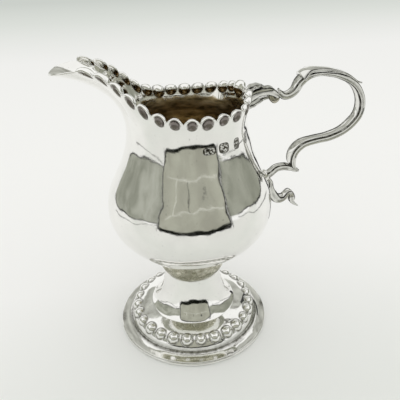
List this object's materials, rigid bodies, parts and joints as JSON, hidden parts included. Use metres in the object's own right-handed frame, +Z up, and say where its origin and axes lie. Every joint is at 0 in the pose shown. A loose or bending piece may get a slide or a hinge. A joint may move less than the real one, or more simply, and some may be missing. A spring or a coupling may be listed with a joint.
{
  "type": "cream jug",
  "caption": "Small silver cream jug: pear-shaped bowl with a pulled-out lip and scalloped rim, on a beaded spreading foot, with a cast double-scroll handle.",
  "frame": {"origin": "on the ground, under the middle of the jug's bounding box", "axes": "+X towards the handle, -X towards the pouring lip, +Z up; the jug is symmetric about Y = 0"},
  "size_m": [0.1116, 0.0624, 0.1103],
  "materials": {
    "raised_silver": "hand-polished sterling silver, faint hammer marks and fine scratches",
    "cast_silver": "cast and polished sterling silver, tarnish in the recesses",
    "solder_seam": "dull silver with yellowish tarnish and solder"
  },
  "bodies": {
    "root": {"bowl": "raised_silver", "foot": "raised_silver", "foot_rim": "raised_silver", "collet": "solder_seam", "upper_leaf": "cast_silver", "lower_leaf": "cast_silver", "upper_scroll": "cast_silver", "upper_curl": "cast_silver", "main_scroll": "cast_silver", "thumb_leaf": "cast_silver", "lower_scroll": "cast_silver", "lower_joint": "cast_silver", "tail_scroll": "cast_silver", "tail_leaf": "cast_silver", "tail_bud": "cast_silver", "tail_drop": "cast_silver"}
  },
  "joints": []
}
